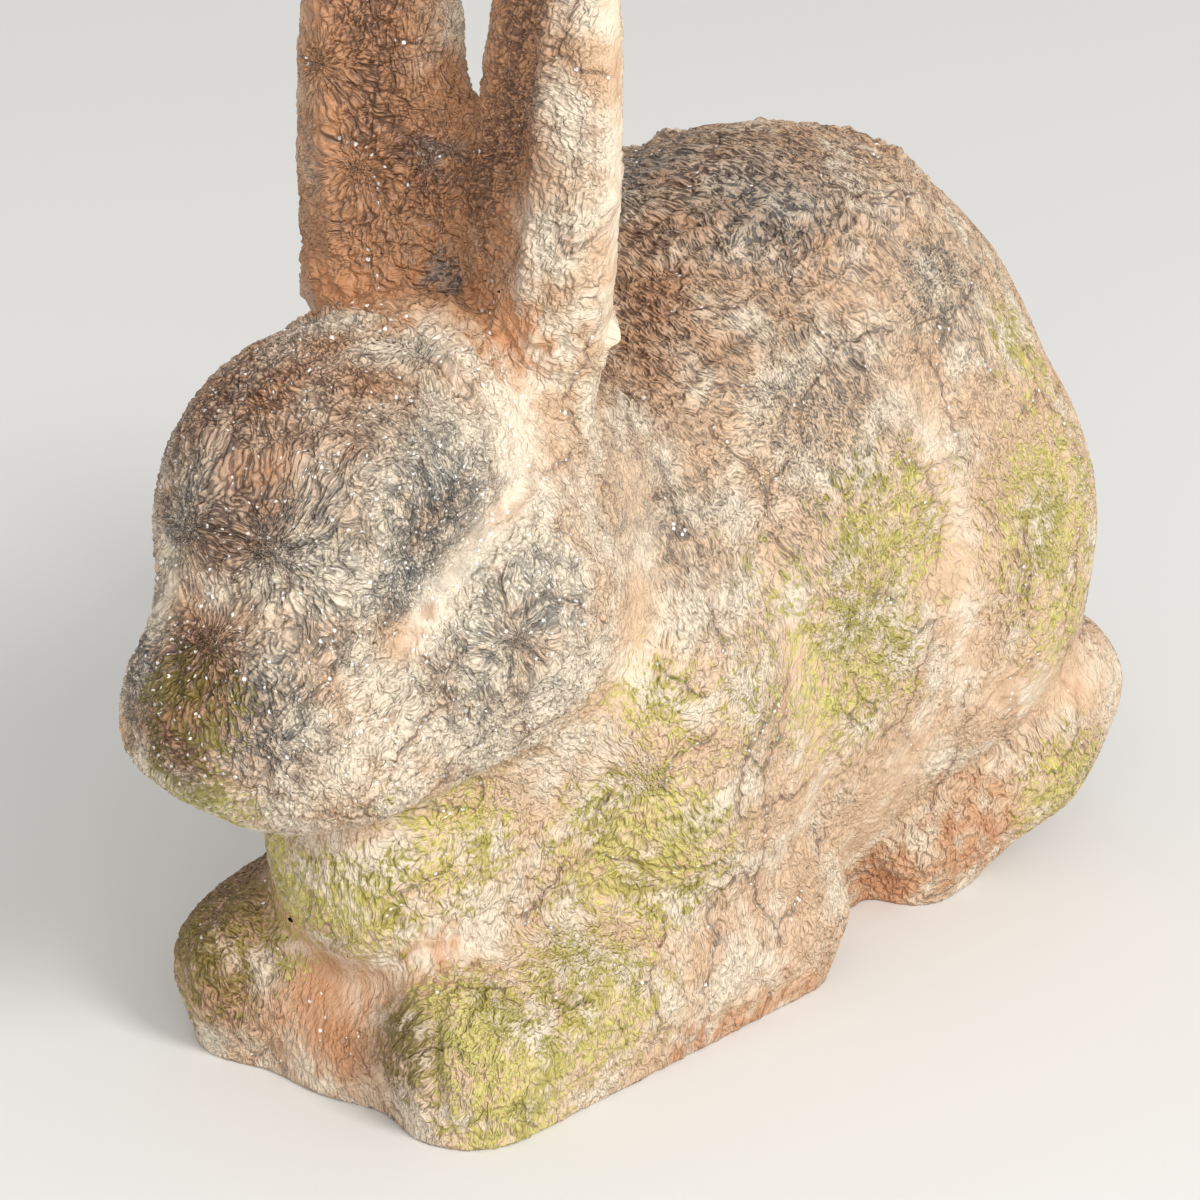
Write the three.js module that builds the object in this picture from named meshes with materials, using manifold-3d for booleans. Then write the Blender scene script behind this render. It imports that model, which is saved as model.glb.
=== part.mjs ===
// A garden statue of a rabbit lying down with its forepaws ahead of it, as a hollow casting.
//
// Each half of the body is cast in its own half mould, and the two shells meet at the middle with
// a layer of mortar. The ears are cast apart, set on the crown in a bed of mortar and held by a
// steel dowel each. A slab closes the hollow underneath.
//
// Millimetres, +Z up. The nose points to -Y and the rabbit's left side is +X. The body's forms
// are placed from a point on the ground under the shoulders, and the finished group is moved so
// that the origin is the middle of its outer box, on the ground.
import * as THREE from 'three';
import { mergeVertices } from 'three/addons/utils/BufferGeometryUtils.js';
import Module from 'manifold-3d';

const wasm = await Module();
wasm.setup();

// Rump: the high dome of the back
const rumpBehind = 82;
const rumpRise = 104;
const rumpHalfWidth = 82;
const rumpHalfLength = 98;
const rumpHalfHeight = 109;

// Belly: the middle of the trunk, under the shoulders
const bellyRise = 90;
const bellyHalfWidth = 62;
const bellyHalfLength = 84;
const bellyHalfHeight = 84;

// Chest: the bib between the forelegs
const chestAhead = 52;
const chestRise = 62;
const chestHalfWidth = 40;
const chestHalfLength = 50;
const chestHalfHeight = 48;

// Footing: the broad foot of the trunk that makes the underside one flat face
const footingBehind = 24;
const footingRise = 6;
const footingHalfWidth = 52;
const footingHalfLength = 112;
const footingInBelly = 30;
const footingHalfHeight = bellyRise - bellyHalfHeight + footingInBelly - footingRise;
const undersideRound = 5;

// Haunch, with the groove that parts it from the belly
const haunchOut = 54;
const haunchBehind = 106;
const haunchRise = 96;
const haunchHalfWidth = 35;
const haunchHalfLength = 46;
const haunchHalfHeight = 58;
const haunchLean = -14;
const haunchGroovePath = [[98, 42, 170], [94, 62, 120], [94, 74, 72]];
const haunchGrooveRadius = 14;

// Hind foot, hock and tail
const toe = [52, 92, 19];
const toeRadius = 19;
const heel = [60, 126, 34];
const heelRadius = 25;
const hock = [60, 140, 48];
const hockHalfSizes = [24, 26, 22];
const tail = [0, 174, 62];
const tailHalfSizes = [22, 18, 26];

// Foreleg: upper arm, elbow and paw. The right paw lies a little further in than the left one
const upperArm = [48, -8, 80];
const upperArmHalfSizes = [27, 34, 54];
const upperArmLean = 14;
const elbow = [52, 24, 21];
const forearmRadius = 22;
const leftPaw = [38, -84, 18];
const rightPaw = [-33, -86, 21];
const pawRadius = 23;
const pawWebAhead = 66;
const pawWebRise = 8;
const pawWebHalfSizes = [36, 36, 24];

// Head: everything on it is placed from the middle of the skull
const headAhead = 64;
const headRise = 162;
const skullHalfSizes = [47, 52, 41];
const browAhead = 31;
const browDrop = 8;
const browHalfSizes = [46, 36, 50];
const browLean = -14;
const muzzleAhead = 51;
const muzzleDrop = 45;
const muzzleHalfSizes = [38, 32, 31];
const lipOut = 12;
const lipAhead = 53;
const lipDrop = 55;
const lipHalfSizes = [27, 25, 15];
const jawOut = 12;
const jawAhead = 26;
const jawDrop = 50;
const jawHalfSizes = [32, 44, 28];
const cheekOut = 24;
const cheekBehind = 2;
const cheekDrop = 32;
const cheekHalfSizes = [35, 48, 40];
// The fold over the eye, from the temple down to the muzzle
const eyeFoldPath = [[52, -4, -25], [53, 35, -2], [44, 59, 30]];
const eyeFoldRadius = 12;
const neckBehind = 30;
const neckDrop = 24;
const neckHalfSizes = [48, 44, 52];

// Ears: a leaf each, hollowed in front, and a web that joins their lower halves
const earOut = 26.5;
const earBehind = 26;
const earRise = 72;
const earHalfWidth = 24;
const earHalfThickness = 14;
const earHalfLength = 92;
const earLean = -3;
const earSplay = 1.5;
const earTurn = -14;
const earHollowAhead = 20;
const earHollowIn = 6.5;
const earHollowRise = 24;
const earHollowHalfSizes = [17, 11, 66];
const earWebBehind = 32;
const earWebRise = 43;
const earWebHalfSizes = [30, 9, 46];

// Casting, mortar and steel
const wall = 13;
const seam = 3;
const earBed = 3;
const gap = 0.3;
const slabThickness = 12;
const slabBed = 4;
const ventRadius = 9;
const dowelRadius = 3;
const dowelInEar = 62;
const dowelInHead = 24;

// How softly forms run into each other, from a tight crease to a broad sweep
const crease = 7;
const fold = 12;
const sweep = 40;

// Lattice steps of the surfaces, and sides of the round pieces
const bodyStep = 9;
const earStep = 7;
const hollowStep = 15;
const dowelSides = 12;
const ventSides = 24;

// A turn given in degrees: first about X, then about Y, then about Z
const turnOf = (...degrees) => new THREE.Euler(...degrees.map(THREE.MathUtils.degToRad), 'ZYX');

// Distance to an ellipsoid, true at its surface and close to true beside it
function ellipsoid(centre, half, leanX = 0, leanY = 0, turnZ = 0) {
  const back = new THREE.Matrix4().makeRotationFromEuler(turnOf(leanX, leanY, turnZ)).transpose();
  const q = new THREE.Vector3();
  return (x, y, z) => {
    q.set(x - centre[0], y - centre[1], z - centre[2]).applyMatrix4(back);
    const reach = Math.hypot(q.x / half[0], q.y / half[1], q.z / half[2]);
    const slope = Math.hypot(q.x / half[0] ** 2, q.y / half[1] ** 2, q.z / half[2] ** 2);
    return reach * (reach - 1) / Math.max(slope, 1e-6);
  };
}

// Distance to a limb: a rod from one point to another, with a radius at each end
function limb(from, to, fromRadius, toRadius) {
  const start = new THREE.Vector3(...from);
  const along = new THREE.Vector3(...to).sub(start);
  const q = new THREE.Vector3();
  return (x, y, z) => {
    q.set(x, y, z).sub(start);
    const share = THREE.MathUtils.clamp(q.dot(along) / along.lengthSq(), 0, 1);
    return q.addScaledVector(along, -share).length() - THREE.MathUtils.lerp(fromRadius, toRadius, share);
  };
}

// Two distances run into each other over a width, as clay is smoothed over a joint
function softMin(a, b, width) {
  const overlap = Math.max(width - Math.abs(a - b), 0) / width;
  return Math.min(a, b) - overlap * overlap * width / 4;
}

const join = (f, g, width) => (x, y, z) => softMin(f(x, y, z), g(x, y, z), width);
const carve = (f, g, width) => (x, y, z) => -softMin(-f(x, y, z), g(x, y, z), width);
const onBothSides = (f) => (x, y, z) => f(Math.abs(x), y, z);

// Below the underside's rounding the forms keep their outline, so the statue stands on a flat foot
const standing = (f) => (x, y, z) => f(x, y, -softMin(-z, -undersideRound, fold));

// A form with a groove of a radius along a path of straight runs, on both sides
function grooved(form, path, radius) {
  const runs = path.slice(1).map((to, i) => onBothSides(limb(path[i], to, radius, radius)));
  return runs.reduce((left, run) => carve(left, run, fold), form);
}

const fromHead = (out, ahead, drop) => [out, -headAhead - ahead, headRise - drop];

const skull = ellipsoid(fromHead(0, 0, 0), skullHalfSizes);
const neck = ellipsoid(fromHead(0, -neckBehind, neckDrop), neckHalfSizes);

// Rump, belly, chest and footing
function torsoForm() {
  const rump = ellipsoid([0, rumpBehind, rumpRise], [rumpHalfWidth, rumpHalfLength, rumpHalfHeight]);
  const belly = ellipsoid([0, 0, bellyRise], [bellyHalfWidth, bellyHalfLength, bellyHalfHeight]);
  const chest = ellipsoid([0, -chestAhead, chestRise], [chestHalfWidth, chestHalfLength, chestHalfHeight]);
  const footing = ellipsoid(
    [0, footingBehind, footingRise],
    [footingHalfWidth, footingHalfLength, footingHalfHeight],
  );
  return join(join(join(rump, belly, sweep), chest, fold), footing, fold);
}

// The trunk alone, which the hollow follows, so that the limbs stay solid
function trunkForm() {
  return standing(join(join(torsoForm(), neck, fold), skull, fold));
}

// Haunches, their grooves, hind feet, hocks and tail
function hindForm(torso) {
  const haunch = ellipsoid(
    [haunchOut, haunchBehind, haunchRise],
    [haunchHalfWidth, haunchHalfLength, haunchHalfHeight],
    haunchLean,
  );
  let form = join(torso, onBothSides(haunch), fold);
  form = grooved(form, haunchGroovePath, haunchGrooveRadius);
  form = join(form, onBothSides(limb(toe, heel, toeRadius, heelRadius)), crease);
  form = join(form, onBothSides(ellipsoid(hock, hockHalfSizes)), fold);
  return join(form, ellipsoid(tail, tailHalfSizes), fold);
}

// Upper arms, forearms with their paws, and the web between the paws
function foreForm(torso) {
  let form = join(torso, onBothSides(ellipsoid(upperArm, upperArmHalfSizes, upperArmLean)), fold);
  form = join(form, limb(elbow, leftPaw, forearmRadius, pawRadius), fold);
  const rightElbow = [-elbow[0], elbow[1], elbow[2]];
  form = join(form, limb(rightElbow, rightPaw, forearmRadius, pawRadius), fold);
  const web = ellipsoid([0, -pawWebAhead, pawWebRise], pawWebHalfSizes);
  return join(form, web, fold);
}

// Skull, brow, muzzle, lips, jaw and cheeks, with the folds over the eyes
function headForm() {
  const brow = ellipsoid(fromHead(0, browAhead, browDrop), browHalfSizes, browLean);
  const muzzle = ellipsoid(fromHead(0, muzzleAhead, muzzleDrop), muzzleHalfSizes);
  const jaw = ellipsoid(fromHead(jawOut, jawAhead, jawDrop), jawHalfSizes);
  const cheek = ellipsoid(fromHead(cheekOut, -cheekBehind, cheekDrop), cheekHalfSizes);
  const lip = ellipsoid(fromHead(lipOut, lipAhead, lipDrop), lipHalfSizes);
  const face = join(join(join(skull, brow, fold), muzzle, fold), onBothSides(lip), crease);
  const head = join(join(face, onBothSides(jaw), fold), onBothSides(cheek), crease);
  return grooved(head, eyeFoldPath.map((point) => fromHead(...point)), eyeFoldRadius);
}

function bodyForm() {
  const torso = foreForm(hindForm(torsoForm()));
  return standing(join(join(torso, neck, fold), headForm(), crease));
}

// Both ears with the web between them
function earForm() {
  const leaf = ellipsoid(
    fromHead(earOut, -earBehind, -earRise),
    [earHalfWidth, earHalfThickness, earHalfLength],
    earLean,
    earSplay,
    earTurn,
  );
  const web = ellipsoid(fromHead(0, -earWebBehind, -earWebRise), earWebHalfSizes);
  const front = ellipsoid(
    fromHead(earOut - earHollowIn, earHollowAhead - earBehind, -earRise - earHollowRise),
    earHollowHalfSizes,
    earLean,
    earSplay,
    earTurn,
  );
  return onBothSides(carve(join(leaf, web, crease), front, crease));
}

// Planes a step apart, laid out from the middle of a span and reaching two steps past its ends
function planes(from, to, step) {
  const count = 2 * Math.ceil((to - from) / 2 / step + 2);
  const middle = (from + to) / 2;
  return Array.from({ length: count }, (_, i) => middle + (i - (count - 1) / 2) * step);
}

// The edges of a lattice cell, each from a corner along an axis, and the rings of its six faces.
// Bit d of a corner's number says whether it lies at the far end along axis d.
const cellCorners = [0, 1, 2, 3, 4, 5, 6, 7];
const cellEdges = [];
const edgeAt = new Map();
for (const corner of cellCorners) {
  for (let d = 0; d < 3; d += 1) {
    if (corner & (1 << d)) continue;
    edgeAt.set(`${corner} ${corner | (1 << d)}`, cellEdges.length);
    edgeAt.set(`${corner | (1 << d)} ${corner}`, cellEdges.length);
    cellEdges.push([corner, corner | (1 << d)]);
  }
}
const square = [[0, 0], [1, 0], [1, 1], [0, 1]];
const cellFaces = [0, 1, 2].flatMap((d) => [0, 1].map((side) => square.map(
  ([m, n]) => (side << d) | (m << ((d + 1) % 3)) | (n << ((d + 2) % 3)),
)));

// Sorts a cell's crossed edges into loops, one for each sheet of surface that passes through it.
// Where a face has all four edges crossed, each inside corner is cut off by itself.
function sheets(values) {
  const loop = cellEdges.map(([a, b], e) => ((values[a] < 0) === (values[b] < 0) ? -1 : e));
  const tie = (e, f) => {
    const [keep, drop] = [loop[e], loop[f]];
    loop.forEach((name, i) => {
      if (name === drop) loop[i] = keep;
    });
  };
  for (const ring of cellFaces) {
    const around = ring.map((corner, i) => edgeAt.get(`${corner} ${ring[(i + 1) % 4]}`));
    const crossed = around.filter((e) => loop[e] >= 0);
    if (crossed.length === 2) tie(...crossed);
    if (crossed.length < 4) continue;
    ring.forEach((corner, i) => {
      if (values[corner] < 0) tie(around[(i + 3) % 4], around[i]);
    });
  }
  return loop;
}

// A closed surface where a form's distance is a level. Each sheet that passes through a lattice
// cell at the base level has one point there, the mean of its crossings on the cell's edges, slid
// along the slope to the level asked for. Each lattice edge that is crossed joins the points of
// the four cells round it. Surfaces of one base share their lattice, so their facets lie parallel.
function surface(form, [low, high], step, base, level) {
  const axes = [0, 1, 2].map((d) => planes(low[d], high[d], step));
  const [nx, ny, nz] = axes.map((axis) => axis.length);
  const node = (i, j, k) => (k * ny + j) * nx + i;
  const samples = new Float64Array(nx * ny * nz);
  for (let k = 0; k < nz; k += 1) {
    for (let j = 0; j < ny; j += 1) {
      for (let i = 0; i < nx; i += 1) {
        samples[node(i, j, k)] = form(axes[0][i], axes[1][j], axes[2][k]) - base;
      }
    }
  }
  const pointOnEdge = new Int32Array(samples.length * cellEdges.length);
  const positions = [];
  for (let k = 0; k < nz - 1; k += 1) {
    for (let j = 0; j < ny - 1; j += 1) {
      for (let i = 0; i < nx - 1; i += 1) {
        const cell = [i, j, k];
        const place = (corner) => cell.map((start, d) => start + ((corner >> d) & 1));
        const values = cellCorners.map((corner) => samples[node(...place(corner))]);
        const loop = sheets(values);
        for (const name of new Set(loop.filter((e) => e >= 0))) {
          const crossings = [];
          loop.forEach((owner, e) => {
            if (owner !== name) return;
            const [a, b] = cellEdges[e];
            const share = values[a] / (values[a] - values[b]);
            const [from, to] = [place(a), place(b)];
            crossings.push(axes.map((axis, d) => THREE.MathUtils.lerp(axis[from[d]], axis[to[d]], share)));
            pointOnEdge[node(i, j, k) * cellEdges.length + e] = positions.length / 3;
          });
          const mean = [0, 1, 2].map((d) => crossings.reduce((sum, c) => sum + c[d], 0) / crossings.length);
          positions.push(...slideTo(form, level, mean));
        }
      }
    }
  }
  const index = [];
  for (let k = 1; k < nz - 1; k += 1) {
    for (let j = 1; j < ny - 1; j += 1) {
      for (let i = 1; i < nx - 1; i += 1) {
        const inside = samples[node(i, j, k)] < 0;
        for (let d = 0; d < 3; d += 1) {
          const next = [i, j, k];
          next[d] += 1;
          if (inside === samples[node(...next)] < 0) continue;
          const [e, f] = [(d + 1) % 3, (d + 2) % 3];
          const ring = square.map(([m, n]) => {
            const cell = [i, j, k];
            cell[e] -= m;
            cell[f] -= n;
            const start = (m << e) | (n << f);
            const edge = edgeAt.get(`${start} ${start | (1 << d)}`);
            return pointOnEdge[node(...cell) * cellEdges.length + edge];
          });
          if (!inside) ring.reverse();
          index.push(ring[0], ring[1], ring[2], ring[0], ring[2], ring[3]);
        }
      }
    }
  }
  const geometry = new THREE.BufferGeometry();
  geometry.setAttribute('position', new THREE.Float32BufferAttribute(positions, 3));
  geometry.setIndex(index);
  return geometry;
}

// Moves a point along a form's slope until the distance there is the level
function slideTo(form, level, point) {
  const nudge = 0.4;
  const slides = 4;
  const leastSquare = 0.2;
  const p = [...point];
  for (let turn = 0; turn < slides; turn += 1) {
    const here = form(...p) - level;
    const slope = [0, 1, 2].map((d) => {
      const q = [...p];
      q[d] += nudge;
      return (form(...q) - level - here) / nudge;
    });
    const slopeSquare = Math.max(slope[0] ** 2 + slope[1] ** 2 + slope[2] ** 2, leastSquare);
    for (let d = 0; d < 3; d += 1) p[d] -= here * slope[d] / slopeSquare;
  }
  return p;
}

function solid(geometry) {
  geometry.deleteAttribute('normal');
  geometry.deleteAttribute('uv');
  const merged = mergeVertices(geometry, 1e-4);
  return new wasm.Manifold(new wasm.Mesh({
    numProp: 3,
    vertProperties: new Float32Array(merged.attributes.position.array),
    triVerts: new Uint32Array(merged.index.array),
  }));
}

// A box from its lowest to its highest corner
function block(low, high) {
  const size = high.map((value, d) => value - low[d]);
  const geometry = new THREE.BoxGeometry(...size);
  return solid(geometry.translate(...low.map((value, d) => value + size[d] / 2)));
}

// A round bar from one point to another
function bar(from, to, radius, sides) {
  const start = new THREE.Vector3(...from);
  const along = new THREE.Vector3(...to).sub(start);
  const geometry = new THREE.CylinderGeometry(radius, radius, along.length(), sides);
  geometry.applyQuaternion(new THREE.Quaternion().setFromUnitVectors(
    new THREE.Vector3(0, 1, 0),
    along.clone().normalize(),
  ));
  return solid(geometry.translate(...start.addScaledVector(along, 0.5).toArray()));
}

// Boxes that hold the body, its hollow and the ears
const reach = 400;
const backOfBody = Math.max(rumpBehind + rumpHalfLength, tail[1] + tailHalfSizes[1]);
const sideOfBody = Math.max(haunchOut + haunchHalfWidth, rumpHalfWidth);
const topOfBody = Math.max(headRise + skullHalfSizes[2], rumpRise + rumpHalfHeight);
const frontOfHead = -headAhead - muzzleAhead - muzzleHalfSizes[1];
const bodyBox = [[-sideOfBody, frontOfHead, -hollowStep], [sideOfBody, backOfBody, topOfBody]];
const frontOfTrunk = -headAhead - skullHalfSizes[1];
const backOfTrunk = rumpBehind + rumpHalfLength;
const hollowBox = [[-rumpHalfWidth, frontOfTrunk, -hollowStep], [rumpHalfWidth, backOfTrunk, topOfBody]];
const earTop = headRise + earRise + earHalfLength;
const earSide = earOut + earHalfWidth;
const earBox = [[-earSide, -headAhead - muzzleAhead, headRise], [earSide, 0, earTop]];

// A form cut off flat at a height, so that its surface closes there
const footed = (form, height) => (x, y, z) => Math.max(form(x, y, z), height - z);

const body = bodyForm();
const footedBody = footed(body, -bodyStep);
const footedTrunk = footed(trunkForm(), -hollowStep - wall - slabBed);
const footedEars = footed(earForm(), headRise);
const ground = block([-reach, -reach, -reach], [reach, reach, 0]);
const leftOf = (x) => block([x, -reach, -reach], [reach, reach, reach]);
const rightOf = (x) => block([-reach, -reach, -reach], [-x, reach, reach]);
const between = (x) => block([-x, -reach, -reach], [x, reach, reach]);

// The body's outside, and the same raised by a few millimetres
const raisedBody = (level) => solid(surface(footedBody, bodyBox, bodyStep, 0, level));
// The trunk's inside, a wall in from the outside, and the same a little further in
const hollowAt = (level) => solid(surface(footedTrunk, hollowBox, hollowStep, -wall, -wall - level));

// An ear's middle line: from its middle down to the crown, and the way up it
const earUp = new THREE.Vector3(0, 0, 1).applyEuler(turnOf(earLean, earSplay, earTurn));
const earFoot = new THREE.Vector3(...fromHead(earOut, -earBehind, -earRise));
while (body(...earFoot) > 0) earFoot.addScaledVector(earUp, -gap);

// A dowel on that line, from the crown down and through the bed up into the ear
function dowel(side, extra) {
  const mirror = new THREE.Vector3(side, 1, 1);
  const at = (height) => earFoot.clone().addScaledVector(earUp, height).multiply(mirror).toArray();
  const top = at(earBed + dowelInEar + extra);
  return bar(at(-dowelInHead - extra), top, dowelRadius + extra, dowelSides);
}

const bores = dowel(1, gap).add(dowel(-1, gap));
const casting = raisedBody(0).subtract(ground).subtract(hollowAt(0)).subtract(bores);
const ears = solid(surface(footedEars, earBox, earStep, 0, 0))
  .subtract(raisedBody(earBed))
  .subtract(bores);
const collar = solid(surface(footedEars, earBox, earStep, 0, seam / 2));

const slabLayer = block([-reach, -reach, 0], [reach, reach, slabThickness]);
const ventEnds = [-slabThickness, 2 * slabThickness].map((height) => [0, footingBehind, height]);
const vent = bar(...ventEnds, ventRadius, ventSides);

const finish = (color, roughness, metalness) => (
  new THREE.MeshStandardMaterial({ color, roughness, metalness, flatShading: true })
);
const coated = finish(0xd9c3a3, 0.7, 0);
const mortar = finish(0xb9a38c, 0.9, 0);
const cement = finish(0xc08a68, 0.9, 0);
const steel = finish(0x9a9c9e, 0.4, 1);

const statue = new THREE.Group();

function piece(name, shape, material) {
  const { numProp, vertProperties, triVerts } = shape.getMesh();
  const geometry = new THREE.BufferGeometry();
  geometry.setAttribute('position', new THREE.BufferAttribute(new Float32Array(vertProperties), numProp));
  geometry.setIndex(new THREE.BufferAttribute(new Uint32Array(triVerts), 1));
  geometry.computeVertexNormals();
  const mesh = new THREE.Mesh(geometry, material.clone());
  mesh.name = name;
  statue.add(mesh);
}

piece('shell_left', casting.intersect(leftOf(seam / 2)), coated);
piece('shell_right', casting.intersect(rightOf(seam / 2)), coated);
piece('seam_mortar', casting.intersect(between(seam / 2 - gap)), mortar);
piece('ear_left', ears.intersect(leftOf(seam / 2)), coated);
piece('ear_right', ears.intersect(rightOf(seam / 2)), coated);
piece('ear_seam_mortar', ears.intersect(between(seam / 2 - gap)), mortar);
piece(
  'ear_bed_mortar',
  collar.intersect(raisedBody(earBed - gap)).subtract(raisedBody(gap)).subtract(bores),
  mortar,
);
piece('ear_dowel_left', dowel(1, 0), steel);
piece('ear_dowel_right', dowel(-1, 0), steel);
piece('base_slab', hollowAt(slabBed).intersect(slabLayer).subtract(vent), cement);
piece(
  'slab_bed_mortar',
  hollowAt(gap).subtract(hollowAt(slabBed - gap)).intersect(slabLayer),
  mortar,
);

// The origin goes to the middle of the outer box, on the ground
const middle = new THREE.Box3().setFromObject(statue).getCenter(new THREE.Vector3());
statue.position.set(-middle.x, -middle.y, 0);

export default statue;
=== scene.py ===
"""The coat of a hollow cast garden rabbit: brushed masonry paint over the casting's two shells and
its ears, with dark washes in the grooves, moss, bare valleys and clay showing through, painted
shade in brown and orange where the light does not reach, and white chips that are partly painted glints.

Forms are given in millimetres from the ground under the shoulders: the nose points to -Y and the
rabbit's left side is +X. The finished meshes are moved to the frame's own middle, in metres.
"""
import math

import bmesh
import bpy
import numpy as np
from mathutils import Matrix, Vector


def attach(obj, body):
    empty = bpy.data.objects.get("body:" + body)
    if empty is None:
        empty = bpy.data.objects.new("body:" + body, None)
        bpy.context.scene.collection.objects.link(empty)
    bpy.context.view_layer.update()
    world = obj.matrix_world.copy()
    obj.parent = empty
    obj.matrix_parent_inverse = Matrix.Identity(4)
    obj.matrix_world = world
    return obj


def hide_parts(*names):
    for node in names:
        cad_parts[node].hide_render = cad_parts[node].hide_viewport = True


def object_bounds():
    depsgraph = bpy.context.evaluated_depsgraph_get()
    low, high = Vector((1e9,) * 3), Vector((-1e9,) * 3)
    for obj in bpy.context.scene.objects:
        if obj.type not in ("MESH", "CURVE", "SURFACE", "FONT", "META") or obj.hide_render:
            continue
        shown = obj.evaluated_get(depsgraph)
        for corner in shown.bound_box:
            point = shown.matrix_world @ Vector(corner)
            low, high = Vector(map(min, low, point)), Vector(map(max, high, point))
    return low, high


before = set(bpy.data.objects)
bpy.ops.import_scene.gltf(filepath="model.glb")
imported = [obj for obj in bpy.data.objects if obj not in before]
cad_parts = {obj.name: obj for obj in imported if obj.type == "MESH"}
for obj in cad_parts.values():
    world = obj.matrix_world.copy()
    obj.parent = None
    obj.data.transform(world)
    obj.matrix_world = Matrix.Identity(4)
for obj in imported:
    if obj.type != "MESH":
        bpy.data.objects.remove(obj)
cad_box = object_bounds()

MM = 0.001

# Where the ground point under the shoulders lies in the frame, in millimetres
SHOULDER = np.array([0.0, -22.493, 0.0])

LATTICE_STEP = 2.8
LATTICE_LOW = np.array([-94.0, -154.0, -6.0])
LATTICE_HIGH = np.array([94.0, 198.0, 332.0])
HALVINGS = 2

# Rows of the lattice where the coat is parted along the body, and the corner behind and under
# the ears, which are a part of their own
PARTINGS = (-98.0, -60.0, -17.0, 27.0, 70.0, 111.0, 148.0)
EARS_BEHIND, EARS_BELOW = 10.0, 208.0

# The casting's wall, the slab that closes it, its play all round, and the underside's rounding
WALL = 13.0
SLAB_THICKNESS = 12.0
SLAB_PLAY = 1.2
UNDERSIDE_ROUND = 5.0

# How far the coat's parts turn inward at the partings
RIM_DEPTH = 3.0

# How softly forms run into each other
CREASE, FOLD, SWEEP, HEAD_FOLD = 7.0, 12.0, 40.0, 8.0

# Middle of the skull, which the neck, face and ears are placed from
HEAD = np.array([0.0, -64.0, 162.0])


def turned(lean=0.0, splay=0.0, twist=0.0):
    """The matrix that leans about X, then splays about Y, then twists about Z, in degrees."""
    a, b, c = np.radians([lean, splay, twist])
    about_x = np.array([[1, 0, 0], [0, math.cos(a), -math.sin(a)], [0, math.sin(a), math.cos(a)]])
    about_y = np.array([[math.cos(b), 0, math.sin(b)], [0, 1, 0], [-math.sin(b), 0, math.cos(b)]])
    about_z = np.array([[math.cos(c), -math.sin(c), 0], [math.sin(c), math.cos(c), 0], [0, 0, 1]])
    return about_z @ about_y @ about_x


def ellipsoid(p, centre, half, *turns):
    """Distance to an ellipsoid: the reach times the reach less one, over the reach's slope."""
    q = (p - np.asarray(centre, np.float32)) @ turned(*turns).astype(np.float32)
    half = np.asarray(half, np.float32)
    reach = np.linalg.norm(q / half, axis=1)
    slope = np.linalg.norm(q / half**2, axis=1)
    return reach * (reach - 1) / np.maximum(slope, 1e-6)


def limb(p, start, end, start_radius, end_radius):
    """Distance to a rod from start to end whose radius changes evenly along it."""
    start, along = np.asarray(start, float), np.subtract(end, start, dtype=float)
    share = np.clip(((p - start) @ along) / (along @ along), 0, 1)
    radius = start_radius + (end_radius - start_radius) * share
    return np.linalg.norm(p - start - share[:, None] * along, axis=1) - radius


def soft_min(a, b, width):
    """The smaller distance, rounded over a width where the two are nearly alike."""
    overlap = np.maximum(width - np.abs(a - b), 0) / width
    return np.minimum(a, b) - overlap**2 * width / 4


def carve(a, b, width):
    """The larger distance, rounded in the same way."""
    return -soft_min(-a, b, width)


def standing(p):
    """Points below the underside's rounding are read at its height, so forms keep their foot."""
    p = p.copy()
    p[:, 2] = -soft_min(-p[:, 2], np.full(len(p), -UNDERSIDE_ROUND, p.dtype), FOLD)
    return p


def both_sides(p):
    """Points brought to the left side, for the forms that both sides have alike."""
    m = p.copy()
    m[:, 0] = np.abs(m[:, 0])
    return m


def torso(p):
    """Rump, belly, chest and footing."""
    d = ellipsoid(p, (0, 82, 104), (82, 98, 109))
    d = soft_min(d, ellipsoid(p, (0, 0, 90), (62, 84, 84)), SWEEP)
    d = soft_min(d, ellipsoid(p, (0, -52, 62), (40, 50, 48)), FOLD)
    return soft_min(d, ellipsoid(p, (0, 24, 6), (52, 112, 30)), FOLD)


def neck(p):
    return ellipsoid(p, HEAD + (0, 30, -24), (48, 44, 52))


def skull(p):
    return ellipsoid(p, HEAD, (47, 52, 41))


def trunk(p):
    """What the casting's hollow follows."""
    p = standing(p)
    return soft_min(soft_min(torso(p), neck(p), FOLD), skull(p), FOLD)


def grooved(p, d, route, radius):
    """The form with a groove along a route of straight runs."""
    for start, end in zip(route, route[1:]):
        d = carve(d, limb(p, start, end, radius, radius), FOLD)
    return d


def hindquarters(p, m, d):
    """Haunches with the groove ahead of them, hind feet, hocks and tail."""
    d = soft_min(d, ellipsoid(m, (54, 106, 96), (35, 46, 58), -14), FOLD)
    d = grooved(m, d, [(98, 42, 170), (94, 62, 120), (94, 74, 72)], 14)
    d = soft_min(d, limb(m, (52, 92, 19), (60, 126, 34), 19, 25), CREASE)
    d = soft_min(d, ellipsoid(m, (60, 140, 48), (24, 26, 22)), FOLD)
    return soft_min(d, ellipsoid(p, (0, 174, 62), (22, 18, 26)), FOLD)


def forelegs(p, m, d):
    """Upper arms, forearms ending in the paws, and the web between the paws."""
    d = soft_min(d, ellipsoid(m, (48, -8, 80), (27, 34, 54), 14), FOLD)
    d = soft_min(d, limb(p, (52, 24, 21), (38, -84, 18), 22, 23), FOLD)
    d = soft_min(d, limb(p, (-52, 24, 21), (-33, -86, 21), 22, 23), FOLD)
    return soft_min(d, ellipsoid(p, (0, -66, 8), (36, 36, 24)), FOLD)


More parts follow.
